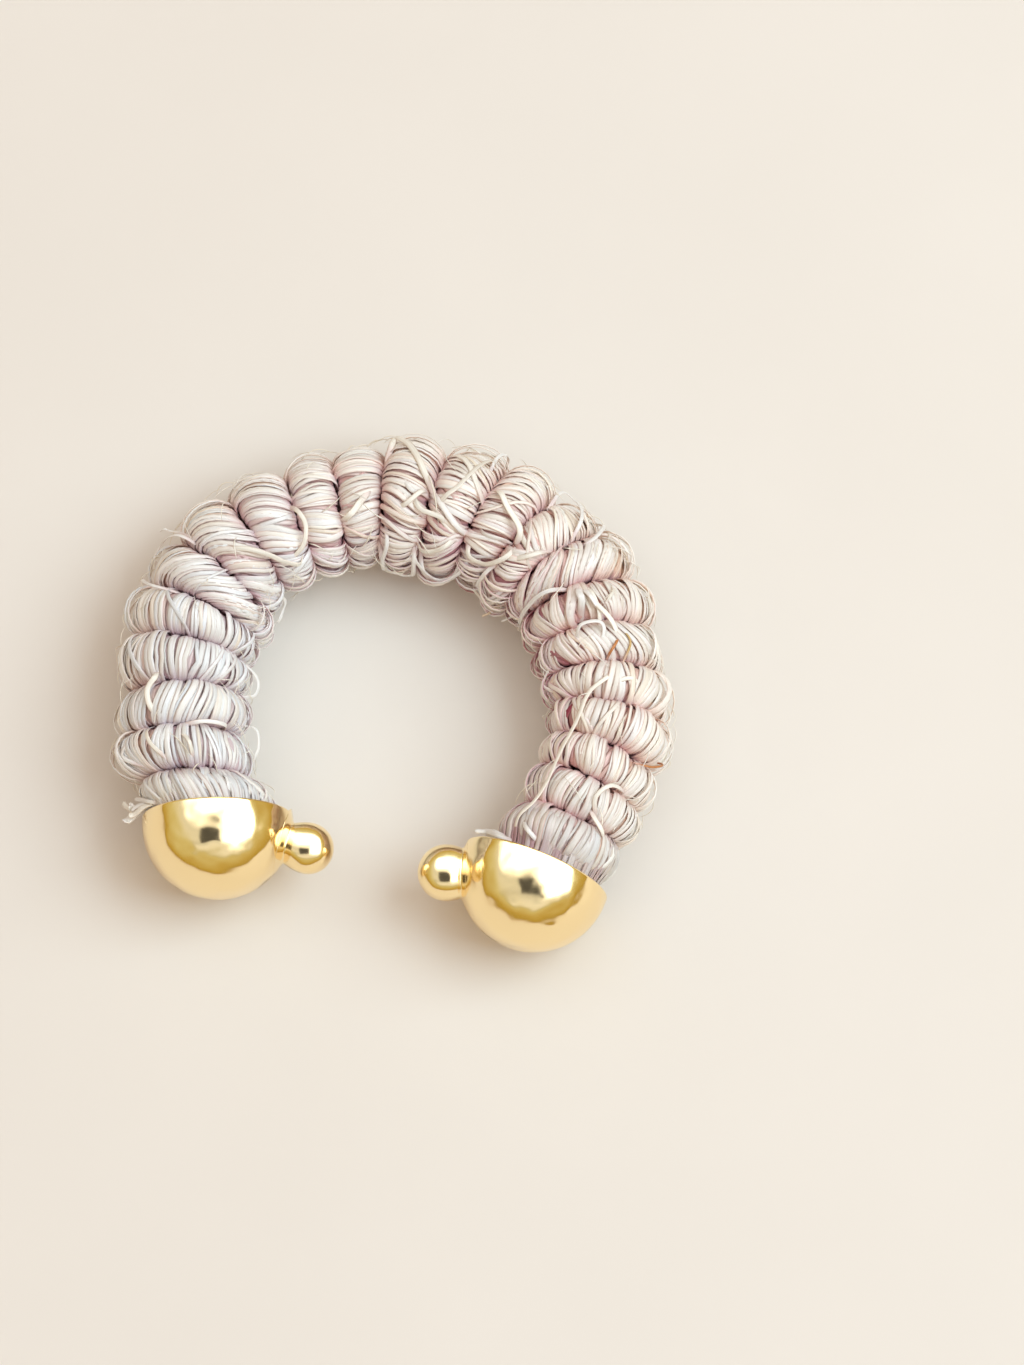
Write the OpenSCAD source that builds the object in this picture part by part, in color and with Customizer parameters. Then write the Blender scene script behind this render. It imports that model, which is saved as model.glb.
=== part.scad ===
// Woven ear cuff, lying on its side: a thick cord coiled turn by turn round a bent core, with a
// gold cap on each end and a ball soldered to the side of each cap.
// Millimetres. +Z is up, the C lies flat and opens towards -Y, and the origin is on the surface
// that it rests on, below the middle of its box.

/* [Coil] */
// Diameter of the core cord inside the coil
core_d = 2.2; // [1.6:0.1:2.4]
// Size of the turns, as a share of the radii in the table of turns
turn_size = 1; // [0.94:0.01:1.02]
// Room left between the core and the coil, and between one turn and the next
turn_gap = 0.1; // [0.06:0.01:0.12]
// Flat steps that go round the core in each turn
turn_steps = 24; // [16:2:28]
// Sides of the coiled cord's own section
turn_sides = 10; // [8:2:12]

/* [Caps] */
// Outer diameter of a cap's round end
cap_d = 7.6; // [7.2:0.1:8]
// Straight wall between a cap's mouth and its round end
cap_wall = 0.4; // [0.3:0.1:1.2]
// Thickness of the cap's sheet metal
cap_sheet = 0.4; // [0.3:0.05:0.5]
// How far the left cap turns in towards the gap, in degrees from -Y
left_turn = 1; // [0:1:20]
// How far the right cap turns in towards the gap, in degrees from -Y
right_turn = 22; // [15:1:35]

/* [Balls] */
// Diameter of the left cap's ball
left_ball_d = 2.6; // [2.5:0.05:3]
// Diameter of the right cap's ball
right_ball_d = 2.85; // [2.5:0.05:3]
// Space between the two balls, where the edge of the ear goes in
ball_gap = 4.2; // [4.1:0.1:4.6]
// Diameter of the solder collar between a cap and its ball
collar_d = 2.3; // [2.2:0.1:2.4]
// How far the left ball is set from its cap's middle towards the cap's round end
left_ball_ahead = 1.25; // [1:0.05:1.5]
// How far the right ball is set from its cap's middle towards the coil
right_ball_back = 0.2; // [0:0.1:0.5]

/* [Hidden] */
// Columns of the table of turns
ANGLE = 0;  // place round the C, in degrees clockwise from its top
REACH = 1;  // from the middle of the C to the core
RADIUS = 2; // from the core's axis to the outside of the turn
LEAD = 3;   // how far the turn's outer side runs ahead of its middle, in turns

// One row for each turn, from the left cap over the top to the right cap. The first and the last
// row are the middles of the caps, where the core ends.
cord = [
    [-123.5, 10.6, 3.3, 0.00],
    [-116, 10.4, 3.25, 0.00],
    [-102.5, 10.9, 3.3, 0.00],
    [-91, 10.7, 3.3, -0.06],
    [-78, 10.9, 3.3, -0.10],
    [-66.5, 11.1, 3.3, -0.08],
    [-56.5, 11.2, 3.4, -0.02],
    [-45.5, 11.55, 3.3, 0.06],
    [-32.5, 11.5, 3.2, 0.12],
    [-20.5, 11.35, 3.1, 0.14],
    [-9.5, 11.2, 3.0, 0.12],
    [3, 11.2, 3.5, 0.10],
    [16.5, 11.1, 3.35, 0.12],
    [29, 11.4, 3.25, 0.10],
    [40.5, 11.0, 3.3, 0.14],
    [51, 11.25, 3.15, 0.22],
    [62, 10.95, 3.35, 0.28],
    [73.5, 10.85, 3.1, 0.26],
    [84, 10.85, 3.0, 0.24],
    [95.5, 10.9, 3.15, 0.26],
    [106.5, 10.65, 3.05, 0.22],
    [117.5, 10.65, 3.0, 0.12],
    [130, 10.8, 3.1, 0.02],
    [140.5, 11.1, 3.1, 0.00]
];
turn_count = len(cord) - 2;

core_r = core_d / 2;
coil_inner_r = core_r + turn_gap;
core_sides = 10;
core_steps_per_turn = 3;

cap_r = cap_d / 2;
cap_inner_r = cap_r - cap_sheet;
mouth_cut = 1;
round_fn = 96;

// Values read from the table at a place counted in turns: turn 1 is around place 1
function row(i) = cord[max(0, min(len(cord) - 1, i))];
function straight(place, column) =
    let (i = floor(place), t = place - i)
    row(i)[column] + t * (row(i + 1)[column] - row(i)[column]);
function smooth(place, column) =
    let (i = floor(place), t = place - i,
         a = row(i - 1)[column], b = row(i)[column], c = row(i + 1)[column], d = row(i + 2)[column])
    b + t / 2 * (c - a + t * (2 * a - 5 * b + 4 * c - d + t * (3 * (b - c) + d - a)));

// The core's line in plan, and the way out of the C: the arms run straight into the caps
function way(angle) = [sin(angle), cos(angle)];
function plan(place) = smooth(place, REACH) * way(smooth(place, ANGLE));
function outward(place) = way(min(90 + right_turn, max(-90 - left_turn, smooth(place, ANGLE))));

// Where the coil's middle is at a count of turns: half counts lie on the underside, where the
// cord crosses over to its next turn, and the quarter before and after it are the C's two edges
function coil_place(count) =
    let (turn = round(count), part = count - turn, lead = straight(count, LEAD), wave = sin(360 * part))
    abs(part) <= 0.25 ? turn + lead * wave
                      : turn + sign(part) * 0.5 - (0.5 - lead) * wave;
function coil_around(count) = 90 - 360 * (count - round(count));
function coil_radius(count) = straight(count, RADIUS) * turn_size;

// A level point of the coil's own round space: place along the core, degrees round it, and radius
function level_point(place, around, r) =
    let (p = plan(place), n = outward(place))
    [p.x + n.x * r * cos(around), p.y + n.y * r * cos(around), r * sin(around)];

// One section across the coiled cord, between the valleys that it shares with its neighbours
function coil_section(count) =
    let (here = coil_place(count),
         before = (coil_place(count - 1) + here) / 2,
         after = (coil_place(count + 1) + here) / 2,
         middle = (before + after) / 2,
         span = norm(plan(middle + 0.5) - plan(middle - 0.5)),
         half = ((after - before) - turn_gap / span) / 2,
         outer = coil_radius(count),
         depth = (outer - coil_inner_r) / 2,
         flat_to_flat = cos(180 / turn_sides))
    [for (k = [0:turn_sides - 1])
        let (t = 360 * k / turn_sides)
        level_point(middle + half * min(1, max(-1, sin(t) / flat_to_flat)), coil_around(count),
                    outer - depth + depth * cos(t))];

// A turn's sections, from one crossing on the underside to the next, short of its neighbours
function turn_rings(number) =
    let (cut = turn_gap / 2 / (2 * PI * coil_radius(number)))
    [for (i = [0:turn_steps]) coil_section(number - 0.5 + cut + i / turn_steps * (1 - 2 * cut))];

// Where the caps stand: the middle of each round end
left_spot = plan(0);
right_spot = plan(turn_count + 1);

// The ends of the C rest on the caps, and its far side sinks until its lowest turn rests too
rest_line = (right_spot - left_spot) / norm(right_spot - left_spot);
function behind_caps(p) = [-rest_line.y, rest_line.x] * ([p.x, p.y] - left_spot);
far_points = [for (number = [1:turn_count]) for (ring = turn_rings(number)) each ring];
far_slope = max([for (p = far_points) if (behind_caps(p) > cap_d) (-p.z - cap_r) / behind_caps(p)]);
function rested(p) = [p.x, p.y, p.z + cap_r + far_slope * behind_caps(p)];

// The two balls face each other across the gap, each on the inner side of its cap
gap_middle_x = -0.89;
left_ball = [gap_middle_x - (ball_gap + left_ball_d) / 2, left_spot.y - left_ball_ahead];
right_ball = [gap_middle_x + (ball_gap + right_ball_d) / 2, right_spot.y + right_ball_back];

// The box that holds the whole cuff, for the origin
box_low_x = min([for (p = far_points) p.x]);
box_high_x = max([for (p = far_points) p.x]);
box_low_y = min(left_spot.y, right_spot.y) - cap_r;
box_high_y = max([for (p = far_points) p.y]);
origin = [(box_low_x + box_high_x) / 2, (box_low_y + box_high_y) / 2, 0];

function turn_name(number) = str("wound_turn_", number < 10 ? "0" : "", number);

// A closed skin over rings of points, each ring in the same order
module skin(rings) {
    sides = len(rings[0]);
    last = len(rings) - 1;
    side_faces = [for (i = [0:last - 1]) for (k = [0:sides - 1])
        let (a = i * sides + k, b = i * sides + (k + 1) % sides)
        each [[a, b + sides, b], [a, a + sides, b + sides]]];
    first_face = [for (k = [1:sides - 2]) [0, k, k + 1]];
    last_face = [for (k = [1:sides - 2]) [last * sides, last * sides + k + 1, last * sides + k]];
    polyhedron(points = [for (ring = rings) each ring], faces = concat(side_faces, first_face, last_face));
}

// The bent cord that everything is wound on, with its ends inside the caps
module core() {
    steps = (turn_count + 1) * core_steps_per_turn;
    color("rosybrown") translate(-origin)
        skin([for (i = [0:steps]) [for (k = [0:core_sides - 1])
            rested(level_point(i / core_steps_per_turn, 360 * k / core_sides, core_r))]]);
}

// One turn of the coil
module wound_turn(number) {
    color("lavenderblush") translate(-origin)
        skin([for (ring = turn_rings(number)) [for (p = ring) rested(p)]]);
}

// Half of a round-ended cup's outline, from its axis out
module cup_outline(r, wall) {
    intersection() {
        circle(r, $fn = round_fn);
        square(r);
    }
    translate([0, -wall]) square([r, wall]);
}

// A cup at a cap's middle, closed at the end that the cap points to
module cup(spot, turn, r, wall) {
    translate([spot.x, spot.y, cap_r]) rotate([90, 0, turn]) rotate(-90)
        rotate_extrude($fn = round_fn) cup_outline(r, wall);
}

// A cap with its ball, one piece of metal, hollow where the cord goes in
module end_cap(spot, turn, ball, ball_d) {
    ball_way = ball - spot;
    ball_angle = atan2(ball_way.y, ball_way.x);
    color("gold") translate(-origin) difference() {
        union() {
            cup(spot, turn, cap_r, cap_wall);
            translate([spot.x, spot.y, cap_r]) rotate([0, 0, ball_angle]) {
                rotate([0, 90, 0]) cylinder(h = norm(ball_way), d = collar_d, $fn = round_fn);
                translate([norm(ball_way), 0, 0]) sphere(d = ball_d, $fn = round_fn);
            }
        }
        cup(spot, turn, cap_inner_r, cap_wall + mouth_cut);
    }
}

module end_cap_left() {
    end_cap(left_spot, left_turn, left_ball, left_ball_d);
}

module end_cap_right() {
    end_cap(right_spot, -right_turn, right_ball, right_ball_d);
}

core();
for (i = [1:turn_count]) wound_turn(i);
end_cap_left();
end_cap_right();
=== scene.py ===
"""Looks of the woven ear cuff: wound fibre strands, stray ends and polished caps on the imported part.

Tables and sizes are in millimetres and degrees. Meshes are made in metres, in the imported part's frame.
"""

import math

import bpy
import numpy as np
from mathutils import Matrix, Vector


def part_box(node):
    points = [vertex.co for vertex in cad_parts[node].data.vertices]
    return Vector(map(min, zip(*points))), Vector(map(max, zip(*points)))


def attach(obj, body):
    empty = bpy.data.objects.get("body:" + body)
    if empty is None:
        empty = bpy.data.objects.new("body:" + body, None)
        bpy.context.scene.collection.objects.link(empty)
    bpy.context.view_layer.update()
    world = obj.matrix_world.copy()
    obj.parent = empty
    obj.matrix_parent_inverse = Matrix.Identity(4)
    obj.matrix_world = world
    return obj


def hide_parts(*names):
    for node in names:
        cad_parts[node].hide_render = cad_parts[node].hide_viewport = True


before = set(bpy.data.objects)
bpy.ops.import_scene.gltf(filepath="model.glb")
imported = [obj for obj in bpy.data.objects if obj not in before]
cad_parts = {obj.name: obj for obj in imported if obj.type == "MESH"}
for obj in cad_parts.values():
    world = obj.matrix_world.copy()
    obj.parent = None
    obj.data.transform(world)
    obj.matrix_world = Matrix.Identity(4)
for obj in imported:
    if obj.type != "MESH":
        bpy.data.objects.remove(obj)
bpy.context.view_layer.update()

MM = 0.001
SEED = 11
# The least height of a strand above the floor
FLOOR_CLEAR = 0.01

# The coil's turns, as the part has them: place round the C, reach to the core, radius of the turn, and the
# lean of its outer side. The first and the last row are the middles of the caps
ANGLE, REACH, RADIUS, LEAD = range(4)
CORD = np.array([
    [-123.5, 10.6, 3.3, 0.00],
    [-116, 10.4, 3.25, 0.00],
    [-102.5, 10.9, 3.3, 0.00],
    [-91, 10.7, 3.3, -0.06],
    [-78, 10.9, 3.3, -0.10],
    [-66.5, 11.1, 3.3, -0.08],
    [-56.5, 11.2, 3.4, -0.02],
    [-45.5, 11.55, 3.3, 0.06],
    [-32.5, 11.5, 3.2, 0.12],
    [-20.5, 11.35, 3.1, 0.14],
    [-9.5, 11.2, 3.0, 0.12],
    [3, 11.2, 3.5, 0.10],
    [16.5, 11.1, 3.35, 0.12],
    [29, 11.4, 3.25, 0.10],
    [40.5, 11.0, 3.3, 0.14],
    [51, 11.25, 3.15, 0.22],
    [62, 10.95, 3.35, 0.28],
    [73.5, 10.85, 3.1, 0.26],
    [84, 10.85, 3.0, 0.24],
    [95.5, 10.9, 3.15, 0.26],
    [106.5, 10.65, 3.05, 0.22],
    [117.5, 10.65, 3.0, 0.12],
    [130, 10.8, 3.1, 0.02],
    [140.5, 11.1, 3.1, 0.00],
])
TURNS = len(CORD) - 2
COIL_INNER = 1.2
# The turns of the far side, one of which rests on the surface
FAR_TURNS = (6, 18)
FAR_STEPS = 2000

# The caps: their radius, straight wall and sheet, and how many degrees their mouths are turned
CAP_R = 3.8
CAP_WALL = 0.4
CAP_SHEET = 0.4
LEFT_TURN = 1
RIGHT_TURN = 22
# The balls: their radii, their collar's, their stretch along it, the gap between them, and where they are
LEFT_BALL_R = 1.3
RIGHT_BALL_R = 1.425
COLLAR_R = 1.15
BALL_STRETCH = 1.2
BALL_GAP = 4.2
GAP_MIDDLE_X = -0.89
LEFT_BALL_AHEAD = 1.25
RIGHT_BALL_BACK = 0.2


def row(i):
    """Rows of the table. A place past its end takes its last row."""
    return CORD[np.clip(i, 0, len(CORD) - 1)]


def straight(place, column):
    """A column of the table at places between its rows, by straight lines."""
    i = np.floor(place).astype(int)
    a, b = row(i)[..., column], row(i + 1)[..., column]
    return a + (place - i) * (b - a)


def curve(a, b, c, d, t):
    """A smooth curve from b to c at shares t of the way, where a and d are the points before and after."""
    return b + t / 2 * (c - a + t * (2 * a - 5 * b + 4 * c - d + t * (3 * (b - c) + d - a)))


def smooth(place, column):
    """A column of the table at places between its rows, by one smooth curve."""
    i = np.floor(place).astype(int)
    return curve(*(row(i + k)[..., column] for k in (-1, 0, 1, 2)), place - i)


def way(angle):
    """Unit vectors seen from above, at degrees from the top of the C towards its right arm."""
    a = np.radians(angle)
    return np.stack([np.sin(a), np.cos(a)], -1)


def plan(place):
    """The core's line, seen from above."""
    return smooth(place, REACH)[..., None] * way(smooth(place, ANGLE))


def outward(place):
    """The way to the outer side of the C, which keeps to the mouths of the caps at its ends."""
    return way(np.clip(smooth(place, ANGLE), -90 - LEFT_TURN, 90 + RIGHT_TURN))


def level_point(place, around, r):
    """Point of the level coil: place along the core, degrees round it from its outer side, radius."""
    a = np.radians(around)
    flat = plan(place) + outward(place) * (r * np.cos(a))[..., None]
    return np.concatenate([flat, (r * np.sin(a) + 0 * flat[..., 0])[..., None]], -1)


def coil_place(count):
    """Where the cord's middle is at a count of turns: it crosses to its next turn on the underside."""
    turn = np.round(count)
    part = count - turn
    lead = straight(count, LEAD)
    wave = np.sin(2 * np.pi * part)
    return np.where(abs(part) <= 0.25, turn + lead * wave, turn + np.sign(part) * 0.5 - (0.5 - lead) * wave)


def coil_around(count):
    """Degrees round the core from the outer side of the C, at counts of turns."""
    return 90 - 360 * (count - np.round(count))


# The caps' middles, the slope on which the far turns sink to the surface, and the part's own origin
left_spot, right_spot = plan(np.array([0.0, TURNS + 1.0]))
rest_line = (right_spot - left_spot) / np.linalg.norm(right_spot - left_spot)
rest_normal = np.array([-rest_line[1], rest_line[0]])
far_count = np.linspace(*FAR_TURNS, FAR_STEPS)
far_points = level_point(coil_place(far_count), coil_around(far_count), straight(far_count, RADIUS))
far_slope = np.max((-far_points[:, 2] - CAP_R) / ((far_points[:, :2] - left_spot) @ rest_normal))
left_cap_low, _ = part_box("end_cap_left")
row_origin = left_spot - (np.array(left_cap_low[:2]) / MM + CAP_R)


def rested(p):
    """Level points brought to the part's frame, where the cuff rests on its caps and its far side."""
    behind = (p[..., :2] - left_spot) @ rest_normal
    return np.concatenate([p[..., :2] - row_origin, (p[..., 2] + CAP_R + far_slope * behind)[..., None]], -1)


def unit(v):
    """Vectors brought to a length of 1."""
    return v / np.maximum(np.linalg.norm(v, axis=-1, keepdims=True), 1e-9)


def smoothstep(low, high, x):
    """0 at low and 1 at high, with a soft start and end. Low may be the larger of the two."""
    t = np.clip((x - low) / (high - low), 0, 1)
    return t * t * (3 - 2 * t)


# Colours of the fibre, linear red, green and blue
CREAM = np.array([0.925, 0.905, 0.775])
WHITE = np.array([0.905, 0.925, 0.90])
LILAC = np.array([0.75, 0.84, 0.90])
PINK = np.array([0.88, 0.79, 0.75])
TAN = np.array([0.80, 0.66, 0.47])
ORANGE = np.array([0.50, 0.20, 0.06])
BROWN = np.array([0.55, 0.38, 0.15])
# The shade between strands, by where it is on the C: outer edge, crest and inner edge, then the left arm
OUTER_SHADE = np.array([0.88, 0.62, 0.46])
CREST_SHADE = np.array([0.96, 0.52, 0.44])
INNER_SHADE = np.array([0.52, 0.10, 0.16])
LEFT_SHADE = np.array([0.77, 0.64, 0.66])
# Painted shade: what the strands turn to where they dive into a valley
VALLEY_SHADE = np.array([0.64, 0.46, 0.45])
LEFT_VALLEY_SHADE = np.array([0.56, 0.52, 0.58])
# Painted shade at the bottom of the valleys, where two turns touch
DEEP_VALLEY_SHADE = np.array([0.52, 0.31, 0.38])
# The layer that shows between bundles and where strands have parted: at the crest, at the inner edge,
# on the left arm, and at the outer edge. Its own colour, darkened as painted shade for the gaps
CREST_UNDER = np.array([0.66, 0.36, 0.31])
INNER_UNDER = np.array([0.28, 0.07, 0.10])
LEFT_UNDER = np.array([0.66, 0.50, 0.52])
OUTER_UNDER = np.array([0.84, 0.60, 0.41])


def ring_quads(first, steps, sides):
    """Faces round tubes of rings of points, where each tube's points start at its first."""
    ring = first + np.arange(steps - 1)[:, None] * sides
    here, there = ring + np.arange(sides), ring + (np.arange(sides) + 1) % sides
    return np.stack([here, there, there + sides, here + sides], -1).reshape(-1, 4)


def ring_ends(first, steps, sides):
    """Faces that close such tubes at both ends."""
    first = np.reshape(first, (-1, 1))
    return np.concatenate([first + np.arange(sides)[::-1], first + (steps - 1) * sides + np.arange(sides)])


class Strands:
    """Closed flattened tubes gathered into one mesh, with a colour and a grain place on each point."""

    def __init__(self):
        self.points, self.tints, self.grains, self.quads, self.ends = [], [], [], [], []
        self.total = 0

    def add_tubes(self, points, tints, grains):
        """Closed tubes of points (tube, step, side, 3)."""
        tubes, steps, sides = points.shape[:3]
        first = self.total + np.arange(tubes)[:, None, None] * steps * sides
        self.quads.append(ring_quads(first, steps, sides))
        self.ends.append(ring_ends(first, steps, sides))
        for kept, new in ((self.points, points), (self.tints, tints), (self.grains, grains)):
            kept.append(new.reshape(-1, 3))
        self.total += tubes * steps * sides

    def add(self, lines, normals, widths, thicks, tints, shades, twist=0.0, sides=6, taper=0.45, deep=0.5):
        """Strands along lines (tube, step, 3), flat to the normals, with a colour at each step.

        Deep is how much of its shade a strand takes at its edges. Its underside takes twice that.
        """
        tubes, steps = lines.shape[:2]
        widths, thicks, twist, deep = (np.broadcast_to(np.asarray(v, float), tubes)
                                       for v in (widths, thicks, twist, deep))
        tangent = unit(np.gradient(lines, axis=1))
        across = unit(np.cross(tangent, normals))
        lift = np.cross(across, tangent)
        turn = np.radians(twist)[:, None, None]
        c, s = np.cos(turn), np.sin(turn)
        across, lift = across * c + lift * s, lift * c - across * s
        fade = np.ones(steps)
        fade[[0, -1]] = taper
        fade[[1, -2]] = (1 + taper) / 2
        ring = 2 * np.pi * np.arange(sides) / sides
        half_w = (widths[:, None] * fade / 2)[..., None, None]
        half_t = (thicks[:, None] * fade / 2)[..., None, None]
        shell = (lines[:, :, None] + across[:, :, None] * half_w * np.cos(ring)[:, None]
                 + lift[:, :, None] * half_t * np.sin(ring)[:, None])
        length = np.cumsum(np.linalg.norm(np.diff(lines, axis=1, prepend=lines[:, :1]), axis=-1), axis=1)
        seeds = np.random.default_rng(self.total + SEED).uniform(0, 50, tubes)
        grain = np.broadcast_arrays(length[..., None], np.cos(ring) * half_w[..., 0], seeds[:, None, None])
        hidden = np.clip(deep[:, None] * (1 - np.sin(ring)), 0, 0.9)[:, None, :, None]
        shades = np.broadcast_to(shades, (tubes, 3))[:, None, None]
        self.add_tubes(shell, tints[:, :, None] + (shades - tints[:, :, None]) * hidden, np.stack(grain, -1))

    def mesh(self, name, material):
        points = np.concatenate(self.points)
        points[:, 2] = np.maximum(points[:, 2], FLOOR_CLEAR)
        return make_mesh(name, points, self.quads + self.ends, material, tint=np.concatenate(self.tints),
                         grain=np.concatenate(self.grains))


def add_object(name, data):
    """A new object of the scene."""
    added = bpy.data.objects.new(name, data)
    bpy.context.scene.collection.objects.link(added)
    return added


def make_mesh(name, points, face_groups, material, tint=None, grain=None):
    """A smooth-shaded object from points in millimetres and arrays of faces of one size each."""
    mesh = bpy.data.meshes.new(name)
    mesh.vertices.add(len(points))
    mesh.vertices.foreach_set("co", (points * MM).astype(np.float32).ravel())
    sizes = np.concatenate([np.full(len(g), g.shape[1]) for g in face_groups])
    loops = np.concatenate([g.ravel() for g in face_groups])
    mesh.loops.add(len(loops))
    mesh.loops.foreach_set("vertex_index", loops.astype(np.int32))
    mesh.polygons.add(len(sizes))
    mesh.polygons.foreach_set("loop_start", np.concatenate([[0], np.cumsum(sizes)[:-1]]).astype(np.int32))
    mesh.update(calc_edges=True)
    mesh.polygons.foreach_set("use_smooth", np.ones(len(sizes), bool))
    if tint is not None:
        colours = mesh.attributes.new("tint", "FLOAT_COLOR", "POINT")
        colours.data.foreach_set("color", np.c_[tint, np.ones(len(tint))].astype(np.float32).ravel())
    if grain is not None:
        places = mesh.attributes.new("grain", "FLOAT_VECTOR", "POINT")
        places.data.foreach_set("vector", grain.astype(np.float32).ravel())
    mesh.materials.append(material)
    mesh.validate()
    return add_object(name, mesh)


# Materials


def new_material(name):
    """A new material with its nodes, its links and its shader."""
    material = bpy.data.materials.new(name)
    material.use_nodes = True
    nodes, links = material.node_tree.nodes, material.node_tree.links
    return material, nodes, links, nodes["Principled BSDF"]


def add_noise(nodes, links, vector, scale, detail=2.0):
    noise = nodes.new("ShaderNodeTexNoise")
    noise.inputs["Scale"].default_value = scale
    noise.inputs["Detail"].default_value = detail
    links.new(vector, noise.inputs["Vector"])
    return noise.outputs["Fac"]


def add_range(nodes, links, value, low, high):
    """A value from 0 to 1 spread over low to high."""
    spread = nodes.new("ShaderNodeMapRange")
    spread.inputs["To Min"].default_value = low
    spread.inputs["To Max"].default_value = high
    links.new(value, spread.inputs["Value"])
    return spread.outputs["Result"]


def add_ramp(nodes, links, value, stops):
    """Colours for a value, between stops of a position and a colour."""
    ramp = nodes.new("ShaderNodeValToRGB")
    while len(ramp.color_ramp.elements) < len(stops):
        ramp.color_ramp.elements.new(1.0)
    for stop, (position, colour) in zip(ramp.color_ramp.elements, stops):
        stop.position = position
        stop.color = (*colour, 1)
    links.new(value, ramp.inputs["Fac"])
    return ramp.outputs["Color"]


def add_bump(nodes, links, height, shader, strength, distance):
    """Bump on a shader, by a height from 0 to 1 over a distance in metres."""
    bump = nodes.new("ShaderNodeBump")
    bump.inputs["Strength"].default_value = strength
    bump.inputs["Distance"].default_value = distance
    links.new(height, bump.inputs["Height"])
    links.new(bump.outputs["Normal"], shader.inputs["Normal"])


def fibre_material():
    """Glossy plant fibre: each strand's colour with its painted shade and light, streaked along its length.
    """
    material, nodes, links, shader = new_material("wrapped_fibre_strands")
    tint = nodes.new("ShaderNodeAttribute")
    tint.attribute_name = "tint"
    grain = nodes.new("ShaderNodeAttribute")
    grain.attribute_name = "grain"
    stretch = nodes.new("ShaderNodeMapping")
    stretch.inputs["Scale"].default_value = (0.5, 14.0, 1.0)
    links.new(grain.outputs["Vector"], stretch.inputs["Vector"])
    streaks = add_noise(nodes, links, stretch.outputs["Vector"], 1.6, 3.0)
    grey = nodes.new("ShaderNodeCombineColor")
    level = add_range(nodes, links, streaks, 0.78, 1.16)
    for channel in ("Red", "Green", "Blue"):
        links.new(level, grey.inputs[channel])
    # The node's whole factor, its two colours and its result
    mix_share, mix_first, mix_second, mix_result = 0, 6, 7, 2
    shade = nodes.new("ShaderNodeMix")
    shade.data_type = "RGBA"
    shade.blend_type = "MULTIPLY"
    shade.inputs[mix_share].default_value = 1.0
    links.new(tint.outputs["Color"], shade.inputs[mix_first])
    links.new(grey.outputs["Color"], shade.inputs[mix_second])
    links.new(shade.outputs[mix_result], shader.inputs["Base Color"])
    links.new(add_range(nodes, links, streaks, 0.30, 0.52), shader.inputs["Roughness"])
    shader.inputs["Specular IOR Level"].default_value = 0.5
    add_bump(nodes, links, streaks, shader, 0.5, 0.02 * MM)
    return material


def core_material():
    """Matt twisted cord."""
    material, nodes, links, shader = new_material("core_cord_twist")
    place = nodes.new("ShaderNodeTexCoord")
    fuzz = add_noise(nodes, links, place.outputs["Object"], 4000, 4.0)
    colours = add_ramp(nodes, links, fuzz, [(0, (0.34, 0.17, 0.17)), (1, (0.56, 0.34, 0.33))])
    links.new(colours, shader.inputs["Base Color"])
    shader.inputs["Roughness"].default_value = 0.85
    add_bump(nodes, links, fuzz, shader, 0.6, 0.05 * MM)
    return material


def gold_material():
    """Polished gold plate, with the soft waves and faint haze of hand polishing."""
    material, nodes, links, shader = new_material("polished_gold_plate")
    place = nodes.new("ShaderNodeTexCoord")
    waves = add_noise(nodes, links, place.outputs["Object"], 480, 1.5)
    haze = add_noise(nodes, links, place.outputs["Object"], 2600, 5.0)
    shader.inputs["Base Color"].default_value = (0.99, 0.79, 0.45, 1)
    shader.inputs["Metallic"].default_value = 1.0
    links.new(add_range(nodes, links, haze, 0.08, 0.18), shader.inputs["Roughness"])
    add_bump(nodes, links, waves, shader, 1.0, 0.25 * MM)
    return material


def floor_material():
    """Pale matt paper with a faint mottle."""
    material, nodes, links, shader = new_material("pale_floor")
    place = nodes.new("ShaderNodeTexCoord")
    mottle = add_noise(nodes, links, place.outputs["Object"], 60, 3.0)
    colours = add_ramp(nodes, links, mottle, [(0, (0.77, 0.74, 0.675)), (1, (0.815, 0.785, 0.72))])
    links.new(colours, shader.inputs["Base Color"])
    shader.inputs["Roughness"].default_value = 0.9
    shader.inputs["Specular IOR Level"].default_value = 0.2
    return material


fibre = fibre_material()
gold = gold_material()


# The coil

# The cord's section and line: the power of its rounded form, how much its sides follow its lean, how far its
# turns wander, and the waves of that, by radians a turn, share and start
SQUARE = 1.95
LEAN_FOLLOW = 0.85
WANDER = 0.035
WANDER_WAVES = [(9.1, 1.0, 1.0), (15.7, 0.8, 0.0), (27.3, 0.6, 0.0)]

# The body below the strands: its depth at the crest and at the valleys, and its ribs
BODY_STEPS, BODY_SIDES = 150, 22
BODY_DEPTH = 0.27
BODY_VALLEY_DEPTH = 0.14
BODY_RIBS = 50
RIB_HEIGHT = 0.035
RIB_SHADE = 0.22

# Lumps round a turn, and how much of them is gone at the valleys
LUMPS = 8
LUMP_SIZE = 0.045
LUMP_FADE = 0.75

# Strands: their steps, how many degrees they reach over the cord from its crest, as loops do too, and how
# much fewer they are in a turn that lies aslant
STRAND_STEPS = 13
STRAND_REACH = 112
LOOP_REACH = 100
SLANT_SPREAD = 4.0

# Between which radians from the crest strands rise, bundles swell, and colours turn to the valley's painted
# shade and to the deep valley's
RISE_SPAN = (0.6, 1.3)
SWELL_SPAN = (0.35, 1.1)
DARK_SPAN = (0.5, 1.45)
DEEP_SPAN = (1.2, 1.55)
DARKEST = 0.95

# How many bundles a turn has, from the first number to below the second, and how little and how much one
# swells at a valley
BUNDLES = (11, 16)
SWELL = (-0.01, 0.15)

# The two layers of strands in a turn: how many, their lowest and highest lift, how much they rise towards
# the valleys, how much lower a bundle is at its edges, the share of their width, how much of the under
# layer's colour they take, and whether they are the outer layer
LAYERS = [
    (68, -0.24, -0.19, 0.05, 0.01, 1.2, 0.7, False),
    (108, -0.09, -0.04, 0.0, 0.035, 1.0, 0.0, True),
]

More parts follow.
